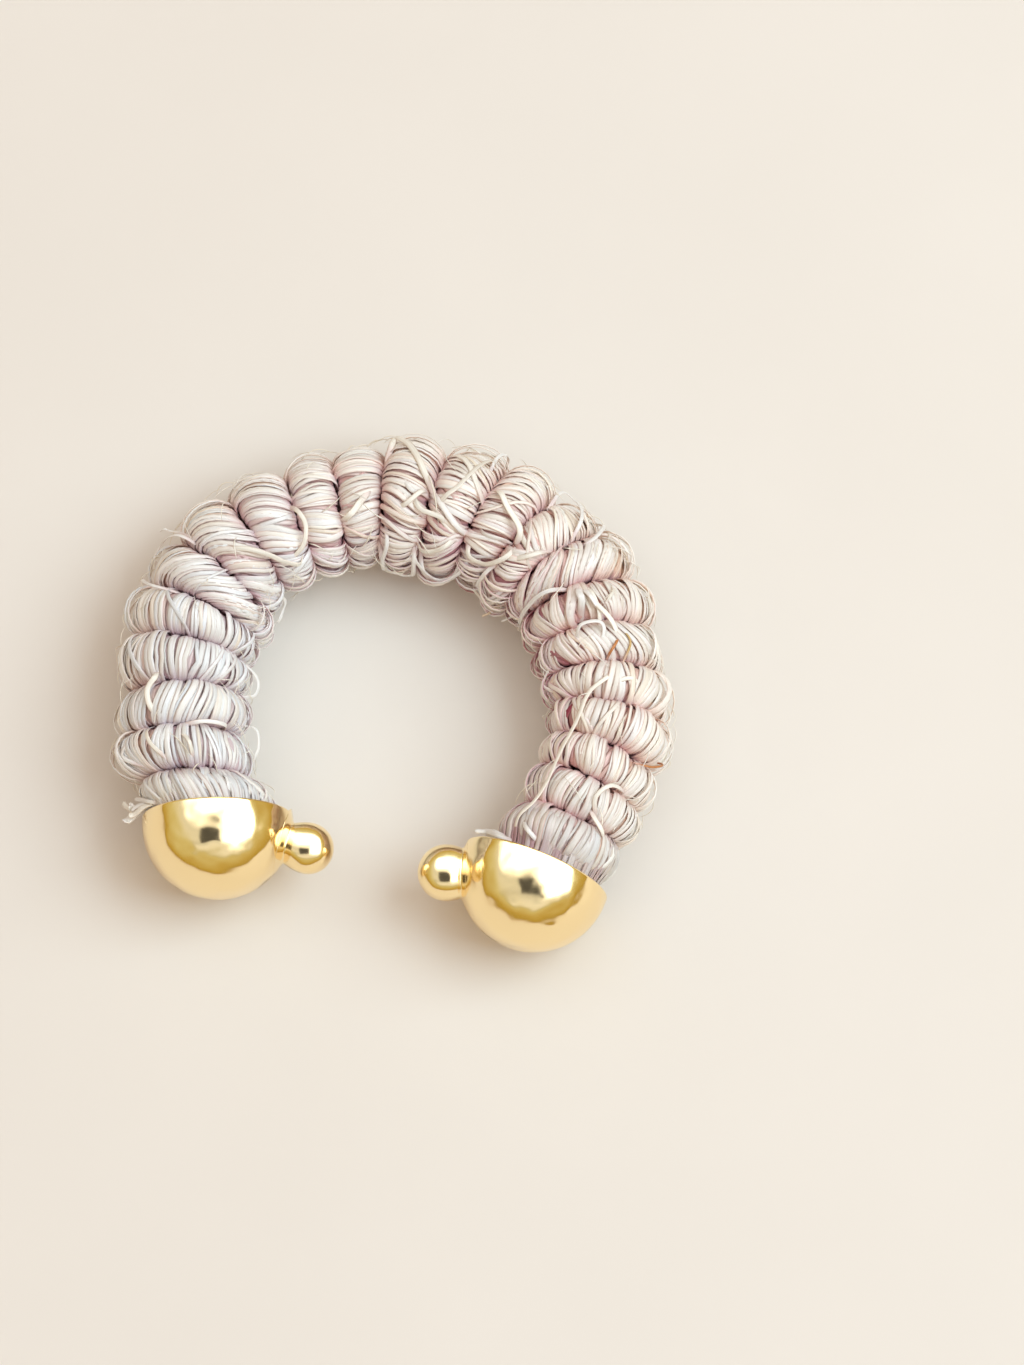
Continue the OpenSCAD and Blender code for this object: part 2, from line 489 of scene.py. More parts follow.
# Where strands loop out at the edges of the C: degrees round the coil, and how far they spread from there
LOOP_PLACES = {"inner": (178, 26), "outer": (8, 24)}

# How each turn is wound, a row for each: how many strands loop out at the inner edge of the C and how far,
# the same at its outer edge, how much strands stray, its brightness, its strands' slant in turns, and how
# blue, rather than pink, its shade is
LOOK_COLUMNS = ("inner loops", "inner lift", "outer loops", "outer lift", "stray", "bright", "slant", "blue")
TURN_LOOKS = [
    (2, 0.15, 2, 0.1, 0.5, 0.9, 0, 1),
    (3, 0.25, 4, 0.4, 0.8, 0.98, 0, 1),
    (5, 0.3, 3, 0.2, 0.6, 0.97, 0, 1),
    (5, 0.3, 3, 0.25, 0.7, 0.99, 0, 0.95),
    (6, 0.3, 5, 0.5, 0.8, 1, 0, 0.9),
    (8, 0.45, 3, 0.45, 1.2, 1.06, -0.065, 0.85),
    (2, 0.15, 2, 0.25, 0.9, 1.03, -0.06, 0.75),
    (3, 0.2, 2, 0.2, 0.7, 1, -0.035, 0.6),
    (5, 0.3, 2, 0.2, 0.8, 1, -0.015, 0.45),
    (5, 0.2, 2, 0.2, 0.8, 0.99, 0, 0.35),
    (6, 0.25, 2, 0.3, 0.8, 1, 0, 0.3),
    (10, 0.5, 6, 0.5, 1.6, 1.02, 0, 0.25),
    (11, 0.5, 4, 0.35, 1.2, 0.98, 0, 0.2),
    (10, 0.5, 5, 0.4, 1.5, 0.97, 0, 0.15),
    (7, 0.35, 6, 0.5, 1.1, 0.97, -0.05, 0.15),
    (6, 0.3, 4, 0.35, 0.8, 0.92, 0, 0.1),
    (8, 0.4, 4, 0.3, 1.5, 0.95, 0, 0.1),
    (7, 0.4, 3, 0.3, 1.1, 0.95, 0, 0.1),
    (4, 0.25, 4, 0.3, 0.9, 1, 0, 0.05),
    (3, 0.2, 3, 0.2, 0.9, 0.96, 0, 0.1),
    (3, 0.2, 3, 0.2, 0.9, 0.91, 0.01, 0.3),
    (2, 0.15, 2, 0.15, 0.8, 0.77, 0.025, 0.4),
]

# Where the outer strands have parted and darker ones show: turns from the left cap, degrees round the
# coil from its outer side, half the width in turns of winding, and half the length over the cord in degrees.
# A parting fades over so many of its half widths
PARTING_FADE = 1.3
PARTED = [
    (3.28, 64, 0.009, 40),
    (3.82, 65, 0.010, 18),
    (3.84, 101, 0.014, 20),
    (2.96, 147, 0.010, 16),
    (3.38, 141, 0.012, 20),
    (2.14, 141, 0.016, 26),
    (9.26, 122, 0.008, 24),
    (15.58, 68, 0.010, 20),
    (14.84, 112, 0.010, 26),
    (14.66, 126, 0.010, 24),
    (16.45, 94, 0.032, 66),
    (16.22, 57, 0.010, 20),
    (17.40, 137, 0.006, 20),
    (17.30, 120, 0.008, 26),
    (20.32, 125, 0.010, 26),
    (19.66, 116, 0.010, 26),
    (21.28, 85, 0.008, 24),
    (12.30, 140, 0.016, 26),
    (13.26, 157, 0.014, 24),
    (13.88, 144, 0.014, 24),
]


def turn_looks(number):
    return dict(zip(LOOK_COLUMNS, TURN_LOOKS[number - 1]))


def wandering(count):
    """The cord's middle as it was wound by hand: the turns, and so the valleys, wander a little."""
    stray = sum(share * np.sin(rate * count + start) for rate, share, start in WANDER_WAVES)
    return coil_place(count) + WANDER * stray


def coil_frame(count):
    """Middle of the coiled cord at counts of turns, and its outward and sideways half sizes as vectors."""
    here = wandering(count)
    before = (wandering(count - 1) + here) / 2
    after = (wandering(count + 1) + here) / 2
    around = coil_around(count)
    outer = straight(count, RADIUS)
    waist = (outer + COIL_INNER) / 2
    low, high = level_point(before, around, waist), level_point(after, around, waist)
    middle = (low + high) / 2
    return middle, level_point((before + after) / 2, around, outer) - middle, (high - low) / 2


def cord_surface(count, t, lift):
    """Points of the coiled cord t radians from its crest, raised by lift, and their normals."""
    middle, up, side = coil_frame(count)
    axis = unit(coil_frame(count + 0.004)[0] - coil_frame(count - 0.004)[0])
    side = side - axis * (side * axis).sum(-1, keepdims=True) * LEAN_FOLLOW
    c, s = np.cos(t)[..., None], np.sin(t)[..., None]
    power = 2 / SQUARE
    up_size = np.linalg.norm(up, axis=-1, keepdims=True)
    side_size = np.linalg.norm(side, axis=-1, keepdims=True)
    normal = unit(up / up_size * c * side_size + side / side_size * s * up_size)
    point = middle + up * np.sign(c) * np.abs(c) ** power + side * np.sign(s) * np.abs(s) ** power
    return point + normal * np.asarray(lift)[..., None], normal


def slow_wave(rng, x, waves, size):
    """A smooth random curve through x, made of a few sines of rising number."""
    total = np.zeros_like(x)
    for k in range(1, waves + 1):
        total += rng.normal(0, 1 / math.sqrt(k)) * np.sin(2 * np.pi * k * x + rng.uniform(0, 2 * np.pi))
    return total * size


def mixed(a, b, share):
    """Colours a share of the way from a to b."""
    return a + (b - a) * np.asarray(share)[..., None]


def strand_tints(rng, tubes, blue):
    """A colour for each strand: cream and white, with lilac on the left arm and pink on the right."""
    tint = mixed(CREAM, WHITE, rng.uniform(0.35 * blue, 1, tubes))
    tint = mixed(tint, LILAC, rng.uniform(0.05, 0.85, tubes) * blue)
    tint = mixed(tint, PINK, rng.uniform(0, 0.4, tubes) * (1 - blue))
    tint = mixed(tint, TAN, (rng.uniform(0, 1, tubes) < 0.08) * 0.4)
    return tint * rng.uniform(0.90, 1.05, tubes)[:, None]


def shade_tints(count, blue):
    """The shade between strands at counts of turns: tan at the outer edge, plum at the inner edge."""
    inward = np.cos(np.radians(coil_around(count)))
    shade = mixed(CREST_SHADE, OUTER_SHADE, smoothstep(0.35, 0.95, inward))
    shade = mixed(shade, INNER_SHADE, smoothstep(-0.45, -0.95, inward) * (1 - 0.6 * blue))
    return mixed(shade, LEFT_SHADE, 0.6 * blue * (1 - 0.6 * outer_share(count)))


def outer_share(count):
    """1 at the outer edge of the C and 0 from its crest inwards."""
    return smoothstep(0.25, 0.9, np.cos(np.radians(coil_around(count))))


def inner_share(count, blue):
    """1 at the inner edge of the C, 0 from its crest outwards, and less on the blue arm."""
    return smoothstep(0.05, -0.8, np.cos(np.radians(coil_around(count)))) * (1 - 0.7 * blue)


def under_tints(count, blue):
    """The colour of the layer below the strands that show, at counts of turns, darkened as painted shade."""
    under = mixed(mixed(CREST_UNDER, INNER_UNDER, inner_share(count, blue)), LEFT_UNDER, blue + 0 * count)
    return mixed(under, OUTER_UNDER, 0.85 * outer_share(count))


def bundled(rng, part, stray, crown):
    """Strands gathered side by side into bundles, by their places in the turn from 0 to 1.

    Gives how far each shifts as its bundle draws together at the two valleys, its slant, lift, brightness
    and how much painted shade it takes at the valleys, and its bundle's number. A bundle's edges are lower
    than its middle, and darker by painted shade.
    """
    bundles = rng.integers(*BUNDLES)
    cuts = (np.arange(1, bundles) + rng.uniform(-0.35, 0.35, bundles - 1)) / bundles
    bundle = np.searchsorted(cuts, part)
    middle = np.bincount(bundle, part, bundles) / np.maximum(np.bincount(bundle, minlength=bundles), 1)
    away = part - middle[bundle]
    pinch = []
    for _ in range(2):
        pull = rng.uniform(0.0, 0.42, bundles)
        aside = rng.normal(0, 0.005, bundles)
        pinch.append((aside[bundle] - away) * pull[bundle])
    edge = np.clip(np.abs(away) * 2 * bundles, 0, 1.2) ** 2
    lift = np.clip(rng.normal(0, 0.02, bundles), -0.03, 0.04)[bundle] - crown * edge
    # Painted shade: a bundle's edges are darker
    bright = rng.normal(1, 0.03, bundles)[bundle] * (1 - 0.05 * edge)
    slant = np.clip(rng.normal(0, 0.007, bundles), -0.012, 0.012) * stray
    dark = rng.uniform(0.5, 1.15, bundles)
    return pinch, slant[bundle], lift, bright, dark[bundle], bundle


def parting_push(base, t, number):
    """How far strands at base counts of turns stand aside of a turn's parted spots, at angles t over it."""
    push = np.zeros((len(base), len(t)))
    for place, around, half, length in PARTED:
        if round(place) != number:
            continue
        away = base - number - around_to_part(around)
        height = math.asin(np.clip((place - number) * 2, -1, 1))
        side = np.sign(away) * np.exp(-np.abs(away) / (PARTING_FADE * half))
        push += half * np.multiply.outer(side, np.exp(-((t - height) / math.radians(length)) ** 2))
    return push


def lengthwise(values, base, shape):
    """A value of each strand at base, or one for all, times a shape over its length."""
    return np.multiply.outer(values + 0 * base, shape)


def wound_tints(rng, base, t, blue, bright, dark, under):
    """Colours of wound strands at angles t over the cord, with painted shade and light, and each strand's
    shade.
    """
    shades = shade_tints(base, blue)
    inward, outward_share = inner_share(base, blue), outer_share(base)
    # Painted shade at the valleys: the valley's shade, with more of the strands' own shade at the C's edges
    valley_shades = mixed(VALLEY_SHADE, LEFT_VALLEY_SHADE, blue + 0 * base)
    valley_shades = mixed(valley_shades, shades * 0.9, 0.3 + 0.6 * inward + 0.4 * outward_share)
    tints = strand_tints(rng, len(base), blue) * np.broadcast_to(bright, len(base))[:, None]
    # Painted light: strands at the inner and outer edges of the C are made brighter
    tints = tints * (1 + 0.09 * inward + 0.06 * outward_share)[:, None]
    hidden = under * (1 + 0.25 * inward) * rng.uniform(0.55, 1.3, len(base))
    tints = mixed(tints, under_tints(base, blue), hidden)
    # Painted shade: colours turn to it towards the valleys, and to the deep valley's at their bottom
    depth = np.minimum(lengthwise(dark, base, smoothstep(*DARK_SPAN, np.abs(t))), DARKEST)
    tints = mixed(tints[:, None], valley_shades[:, None], depth)
    return mixed(tints, DEEP_VALLEY_SHADE, (0.7 - 0.3 * blue) * smoothstep(*DEEP_SPAN, np.abs(t))), shades * 0.92


def add_wound_strands(strands, rng, base, slant, bow, lift, widths, blue, bulge=0, bright=1.0, dark=0.9,
                      pinch=(0, 0), parted=None, under=0.0, fill=0.0, swell=(0, 0), reach=STRAND_REACH):
    """Strands over the coiled cord, from valley to valley, at base counts of turns.

    Slant and bow are in turns. Lift is how far a strand stands off all along, and bulge at its crest. Under
    is how much of the under layer's colour it takes. At the valleys, dark is how much painted shade it
    takes, pinch how far it shifts, fill its rise, and swell its further rise at each of the two. Parted is
    the number of the turn whose partings push it aside.
    """
    t = np.radians(np.linspace(-reach, reach, STRAND_STEPS))
    near, far = (1 - np.sin(t)) / 2, (1 + np.sin(t)) / 2
    count = base[:, None] + slant[:, None] * np.sin(t) + bow[:, None] * np.cos(t)
    count = count + lengthwise(pinch[0], base, near ** 2) + lengthwise(pinch[1], base, far ** 2)
    if parted is not None:
        count = count + parting_push(base, t, parted)
    rise = lift[:, None] + lengthwise(bulge, base, np.maximum(np.cos(t), 0) ** 0.8)
    rise = rise + lengthwise(fill, base, smoothstep(*RISE_SPAN, np.abs(t)))
    for side, size in zip((-t, t), swell):
        rise = rise + lengthwise(size, base, smoothstep(*SWELL_SPAN, side))
    points, normals = cord_surface(count, np.broadcast_to(t, count.shape), rise)
    tints, shades = wound_tints(rng, base, t, blue, bright, dark, under)
    thicks = widths * rng.uniform(0.24, 0.40, len(base))
    twist = rng.normal(0, 9, len(base))
    deep = rng.uniform(0.08, 0.56, len(base)) * (1 - 0.15 * blue) + 0.2 * inner_share(base, blue)
    strands.add(rested(points), normals, widths, thicks, tints, shades, twist=twist, deep=deep)


def strand_widths(rng, tubes):
    return np.clip(rng.lognormal(math.log(0.245), 0.27, tubes), 0.14, 0.43)


def lump_lift(lumps, part):
    """How much a turn stands up or sinks at shares of the way round it."""
    return np.interp(part, np.linspace(0, 1, len(lumps)), lumps)


def add_body(strands, number, blue, lumps):
    """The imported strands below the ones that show, as one ribbed body in the under layer's colour."""
    count = np.linspace(number - 0.5, number + 0.5, BODY_STEPS)[:, None] + np.zeros(BODY_SIDES)
    t = np.linspace(0, 2 * np.pi, BODY_SIDES, endpoint=False) + np.zeros((BODY_STEPS, 1))
    sideways = np.abs(np.sin(t))
    rib = np.sin(count * 2 * np.pi * BODY_RIBS + 1.5 * np.sin(t * 2) + 0.8 * np.sin(t * 3 + number))
    sunk = BODY_DEPTH + (BODY_VALLEY_DEPTH - BODY_DEPTH) * smoothstep(0.6, 0.98, sideways)
    lump = lump_lift(lumps, count - number + 0.5)
    lump = lump * (1 - LUMP_FADE * smoothstep(*RISE_SPAN, np.arccos(np.cos(t))))
    points, _ = cord_surface(count, t, RIB_HEIGHT * rib - sunk + lump)
    grain = np.stack([t * 1.1, count * 20, 0 * t + number], -1)
    # Painted shade: the body is dimmed, turns to the deep valley's shade at its sides, and is lighter on its
    # ribs and darker between them
    tints = mixed(under_tints(count, blue) * 0.88, DEEP_VALLEY_SHADE, 0.7 * smoothstep(0.8, 1.0, sideways))
    strands.add_tubes(rested(points)[None], tints * (1 + RIB_SHADE * rib)[..., None], grain)


def around_to_part(around):
    """The share of a turn from its top, positive to the outer edge, at degrees round the core."""
    return (90 - around) / 360


def fibre_piece(name, strands):
    """The strands as one piece of fibre, which moves with the one body."""
    piece = strands.mesh(name, fibre)
    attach(piece, "root")
    return piece


def wound_turn_piece(number):
    """One turn of the coil: its body, its layers of strands, and the loops at both edges of the C."""
    rng = np.random.default_rng(SEED * 100 + number)
    swell_rng = np.random.default_rng(SEED * 300 + number)
    looks = turn_looks(number)
    blue, stray = looks["blue"], looks["stray"]
    strands = Strands()
    lumps = rng.normal(0, LUMP_SIZE, LUMPS)
    add_body(strands, number, blue, lumps)
    for tubes, low, high, fill, crown, broad, under, is_outer in LAYERS:
        tubes = round(tubes * (1 - SLANT_SPREAD * abs(looks["slant"])))
        part = np.clip((np.arange(tubes) + rng.uniform(-0.4, 0.4, tubes)) / tubes, 0, 1)
        base = number - 0.5 + part + slow_wave(rng, part, 9, 0.002)
        pinch, slant, lift, bright, dark, bundle = bundled(rng, part, stray, crown)
        swell = swell_rng.uniform(*SWELL, (2, BUNDLES[1]))[:, bundle] * is_outer
        slant = slant + looks["slant"] + slow_wave(rng, part, 5, 0.010 * stray)
        slant = slant + rng.normal(0, 0.004 * stray, tubes)
        crossing = rng.uniform(0, 1, tubes) < 0.06 * stray
        slant = slant + crossing * rng.normal(0, 0.03, tubes)
        lump = lump_lift(lumps, part)
        lift = lift + rng.uniform(low, high, tubes) + crossing * 0.06 + lump
        bow = rng.normal(0, 0.003, tubes)
        widths = strand_widths(rng, tubes) * broad
        add_wound_strands(strands, rng, base, slant, bow, lift, widths, blue, dark=dark, pinch=pinch,
                          bright=bright * looks["bright"], parted=number if is_outer else None,
                          under=under, fill=fill - LUMP_FADE * lump, swell=swell)
    for edge, (middle, spread) in LOOP_PLACES.items():
        tubes = looks[edge + " loops"]
        base = number + around_to_part(middle + rng.uniform(-spread, spread, tubes))
        bulge = looks[edge + " lift"] * rng.uniform(0.35, 1.1, tubes)
        slant = rng.normal(0, 0.02, tubes)
        bow = rng.normal(0, 0.012, tubes)
        widths = strand_widths(rng, tubes) * 0.95
        add_wound_strands(strands, rng, base, slant, bow, np.full(tubes, -0.02), widths, blue,
                          bulge=bulge, reach=LOOP_REACH)
    name = "wound_turn_%02d" % number
    piece = fibre_piece(name + "_fibre", strands)
    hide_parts(name)


for turn_number in range(1, TURNS + 1):
    wound_turn_piece(turn_number)


# Strands that have come loose. Each is a colour, a width, and the points that it passes: turns from the
# left cap, degrees round the coil from its outer side, and how far it stands off. An end with no third
# number is tucked into the coil
IVORY = mixed(CREAM, WHITE, 0.35)
LOOSE = [
    (IVORY, 0.27, (8.4, 88), (8.5, 101, 0.12), (8.5, 114, 0.2), (8.25, 129, 0.15), (7.8, 140)),
    (IVORY, 0.30, (6.6, 80), (7.1, 103, 0.08), (7.45, 122, 0.1), (7.65, 135, 0.12), (8.0, 144, 0.15),
     (8.45, 137)),
    (IVORY, 0.38, (9.4, 124), (9.6, 116, 0.06), (9.85, 109, 0.1), (10.25, 92)),
    (WHITE, 0.24, (5.9, 8), (6.0, 12, 0.15), (6.25, 13, 0.2), (6.5, 38, 0.1), (6.6, 54)),
    (WHITE, 0.24, (10.55, 130), (10.55, 146, 0.08), (10.4, 167, 0.1), (10.45, 190, 0.1), (10.5, 205)),
    (IVORY, 0.32, (3.6, 65), (3.45, 69, 0.06), (3.2, 62, 0.12), (2.9, 64, 0.1), (2.7, 66)),
    (WHITE, 0.2, (5.45, 6), (5.45, 14, 0.1), (5.3, 40, 0.08), (5.4, 66)),
    (WHITE, 0.2, (6.65, 52), (6.6, 14, 0.1), (6.55, 12, 0.5), (6.5, 6, 0.65)),
    (WHITE, 0.22, (7.05, 160), (7.2, 183, 0.1), (6.75, 190, 0.35), (6.5, 198, 0.1)),
    (WHITE, 0.22, (4.65, 167), (4.3, 185, 0.45), (3.65, 182, 0.3), (3.5, 170)),
    (IVORY, 0.36, (10.6, 58), (10.75, 36, 0.12), (10.9, 42, 0.15), (11.1, 58, 0.1), (11.3, 76, 0.06),
     (11.6, 96)),
    (WHITE, 0.27, (10.85, 80), (11.1, 95, 0.08), (11.4, 95)),
    (IVORY, 0.28, (10.5, 110), (10.95, 109, 0.06), (11.3, 96, 0.1), (11.4, 91)),
    (IVORY, 0.3, (11.15, 100), (11.35, 110, 0.1), (11.8, 113, 0.1), (11.9, 120)),
    (IVORY, 0.3, (11.55, 110), (11.8, 94, 0.08), (12.0, 81, 0.1), (12.3, 43, 0.05), (12.4, 30)),
    (IVORY, 0.3, (11.3, 146), (11.5, 147, 0.06), (11.8, 144, 0.12), (12.1, 136, 0.12), (12.4, 127)),
    (WHITE, 0.27, (10.35, 149), (10.45, 182, 0.1), (10.9, 190, 0.15), (11.25, 189, 0.12),
     (11.3, 161, 0.1), (11.25, 150)),
    (WHITE, 0.27, (11.4, 151), (11.55, 170, 0.12), (12.0, 183, 0.2), (12.45, 176, 0.15), (12.55, 154)),
    (IVORY, 0.36, (12.55, 66), (12.8, 79, 0.06), (13.1, 89, 0.12), (13.6, 96, 0.05), (13.7, 108)),
    (WHITE, 0.25, (12.5, 115), (12.95, 119, 0.06), (13.6, 111)),
    (IVORY, 0.3, (12.5, 124), (12.7, 142, 0.1), (13.2, 144, 0.12), (13.65, 125, 0.1), (13.75, 110)),
    (WHITE, 0.22, (12.4, 57), (12.4, 32, 0.15), (12.5, 5, 0.25), (12.5, -12)),
    (WHITE, 0.24, (13.7, 50), (13.65, 25, 0.12), (13.9, 15, 0.22), (14.4, 46, 0.12), (14.6, 68)),
    (WHITE, 0.24, (14.1, 3), (14.5, 2, 0.15), (14.85, 45, 0.1), (14.85, 62)),
    (IVORY, 0.3, (13.75, 123), (14.25, 104, 0.1), (14.45, 87)),
    (WHITE, 0.25, (14.3, 163), (13.75, 190, 0.2), (13.2, 190, 0.15), (13.35, 153, 0.1), (13.55, 136)),
    (TAN, 0.13, (14.4, 165), (14.05, 190, 0.2), (13.85, 192, 0.8)),
    (WHITE, 0.12, (15.0, 172), (14.65, 190, 0.3), (14.5, 196, 0.5)),
    (WHITE, 0.26, (15.15, 190, 0.1), (15.15, 145, 0.1), (15.25, 122, 0.1), (15.55, 102)),
    (WHITE, 0.42, (15.55, 90), (15.8, 94, 0.06), (16.05, 95, 0.06), (16.4, 106)),
    (IVORY, 0.3, (15.65, 82), (16.15, 85, 0.08), (16.65, 77, 0.12), (17.1, 71)),
    (IVORY, 0.26, (15.95, 60), (16.15, 67, 0.08), (16.3, 76)),
    (WHITE, 0.24, (16.85, 112), (16.65, 108, 0.08), (16.55, 101, 0.15), (16.65, 87, 0.15),
     (16.9, 86, 0.12), (17.3, 97)),
    (ORANGE, 0.15, (17.05, 73), (17.2, 77, 0.08), (17.4, 84, 0.08), (17.55, 90)),
    (BROWN, 0.14, (16.9, 66), (17.05, 65, 0.06), (17.3, 64, 0.08), (17.7, 72)),
    (WHITE, 0.24, (17.0, 156), (17.4, 166, 0.1), (17.8, 166, 0.15), (18.45, 146)),
    (IVORY, 0.26, (17.75, 72), (18.1, 94, 0.1), (18.5, 112, 0.14), (19.35, 121, 0.12), (20.35, 126, 0.12),
     (21.45, 127, 0.12), (22.0, 133, 0.1), (22.55, 135)),
    (IVORY, 0.26, (18.25, 95), (18.1, 71, 0.08), (18.2, 58)),
    (IVORY, 0.26, (21.4, 64), (21.05, 76, 0.1), (20.6, 67, 0.1), (20.5, 43)),
    (IVORY, 0.26, (21.3, 74), (21.6, 57, 0.1), (21.7, 43)),
    (WHITE, 0.27, (22.0, 132), (22.3, 111, 0.1), (22.5, 92)),
    (WHITE, 0.2, (22.7, 176, 0.65), (22.6, 171, 0.4), (22.45, 168, 0.1), (22.55, 130)),
    (ORANGE, 0.12, (19.85, 50), (19.8, 32, 0.06), (19.6, 14, 0.1), (19.5, 2)),
    (WHITE, 0.24, (2.4, 93), (2.45, 112, 0.06), (2.45, 132, 0.1), (2.55, 157)),
    (IVORY, 0.24, (2.45, 56), (2.2, 62, 0.08), (1.9, 65, 0.1), (1.6, 71)),
    (IVORY, 0.24, (2.5, 87), (2.05, 96, 0.1), (1.8, 97, 0.1), (1.5, 95)),
    (WHITE, 0.25, (2.25, 34), (1.85, 26, 0.12), (1.6, 40)),
    (WHITE, 0.22, (2.8, 182), (2.7, 184, 0.45), (2.25, 182, 0.6), (1.8, 174, 0.1)),
    (IVORY, 0.3, (0.9, 14), (0.75, -2, 0.2), (0.65, -3, 0.6), (0.85, -5, 0.95), (1.05, -7, 1.05)),
    (WHITE, 0.26, (0.6, 30), (0.75, 22, 0.1), (0.9, 12, 0.15), (1.1, -5, 0.35)),
    (IVORY, 0.3, (1.0, 12), (0.8, 1, 0.25), (0.7, -3, 0.55), (0.62, -6, 0.75)),
    (WHITE, 0.24, (1.1, 6), (0.95, -4, 0.2), (0.8, -8, 0.5), (0.7, -9, 0.9)),
    (WHITE, 0.34, (0.75, 20), (0.75, 12, 0.25), (0.7, 8, 0.6), (0.6, 6, 0.85)),
    (IVORY, 0.34, (0.85, 16), (0.8, 8, 0.3), (0.7, 3, 0.7), (0.7, 6, 0.95)),
    (WHITE, 0.3, (0.7, 10), (0.65, 4, 0.3), (0.75, 0, 0.6), (0.95, -2, 0.75)),
    (WHITE, 0.46, (0.8, 16), (0.65, 10, 0.3), (0.45, 6, 0.75), (0.2, 5, 1.15), (0.1, 7, 1.4)),
    (IVORY, 0.36, (0.75, 24), (0.6, 16, 0.35), (0.4, 10, 0.8), (0.35, 9, 1.1)),
    (WHITE, 0.3, (22.45, 172, 0.85), (22.4, 166, 0.3), (22.5, 145, 0.08), (22.55, 124)),
    (WHITE, 0.26, (22.35, 172, 0.5), (22.35, 166, 0.2), (22.42, 150, 0.06), (22.5, 132)),
    (WHITE, 0.24, (11.3, 150), (11.36, 160, 0.1), (12.04, 180, 0.3), (12.64, 165, 0.15), (12.7, 150)),
    (IVORY, 0.24, (12.95, 150), (13.1, 180, 0.12), (13.22, 190, 0.3), (14.04, 169, 0.2), (14.38, 145)),
    (WHITE, 0.24, (13.0, 146), (13.25, 176, 0.1), (13.5, 184, 0.2), (13.95, 166, 0.12), (14.2, 145)),
    (IVORY, 0.24, (16.75, 88), (16.4, 84, 0.04), (15.95, 84, 0.06), (15.55, 86)),
    (WHITE, 0.28, (16.55, 76), (16.3, 84, 0.08), (15.95, 87, 0.08), (15.55, 90)),
]
LOOSE_STEPS = 7
LOOSE_WIDTH = 0.92
LOOSE_THICK = 0.26
SHADE_OF_LOOSE = np.array([0.90, 0.74, 0.66])
UPWARDS = np.array([0, 0, 1.5])
TUCK_DEPTH = 0.2


def through(points, steps):
    """A smooth route through points, by the same curve as the table's."""
    ends = np.concatenate([[2 * points[0] - points[1]], points, [2 * points[-1] - points[-2]]])
    t = (np.arange(steps) / steps)[:, None]
    spans = [curve(a, b, c, d, t) for a, b, c, d in zip(ends, ends[1:], ends[2:], ends[3:])]
    return np.concatenate([*spans, points[-1:]])


def surface_drop(place, around):
    """How far the coil's surface lies below the crest, at places along the core and degrees round it."""
    turn = np.round(place)
    crest = coil_place(turn + around_to_part(around))
    away = np.clip(np.abs(place - crest) / 0.5, 0, 1)
    return (straight(place, RADIUS) - COIL_INNER) / 2 * (1 - np.sqrt(1 - away ** 2))


def off_core(place, around, r):
    """Level points of the coil at a radius, and the ways that lead to them from the core."""
    line = level_point(place, around, r)
    return line, unit(line - level_point(place, around, 0 * r))


def add_loose(strands, rng, tint, width, route):
    """One strand along its own route over the coil."""
    points = [point if len(point) == 3 else (*point, -surface_drop(*point) - TUCK_DEPTH) for point in route]
    place, around, off = through(np.array(points, float), LOOSE_STEPS).T
    line, normal = off_core(place, around, straight(place, RADIUS) + off)
    normal = unit(normal + UPWARDS * smoothstep(0.15, 0.5, off)[:, None])
    tints = np.broadcast_to(tint * rng.uniform(0.92, 1.02), line.shape)
    # Painted shade: a strand darkens to the valley's shade where it dips below the surface
    tints = mixed(tints, VALLEY_SHADE, 0.6 * smoothstep(0.0, -0.3, off))
    strands.add(rested(line)[None], normal[None], width * LOOSE_WIDTH, width * LOOSE_THICK, tints[None],
                tint * SHADE_OF_LOOSE, twist=rng.normal(0, 14), sides=8, taper=0.6)


def loose_strands_piece():
    rng = np.random.default_rng(SEED * 7)
    strands = Strands()
    for tint, width, *route in LOOSE:
        add_loose(strands, rng, tint, width, route)
    fibre_piece("loose_strands", strands)


# Strands of the two end turns, which run over the turn and straight on into the mouth of its cap
MOUTH_STRANDS = 112
MOUTH_STEPS = 13
MOUTH_START = -0.46
# Painted shade that the strands darken to inside the cap's mouth, beside the C's hollow and in the valley
MOUTH_SHADE = np.array([0.36, 0.20, 0.23])
# The side of the C's hollow, by degrees round the coil where it starts and ends
HOLLOW_START = (62, 98)
HOLLOW_END = (250, 200)


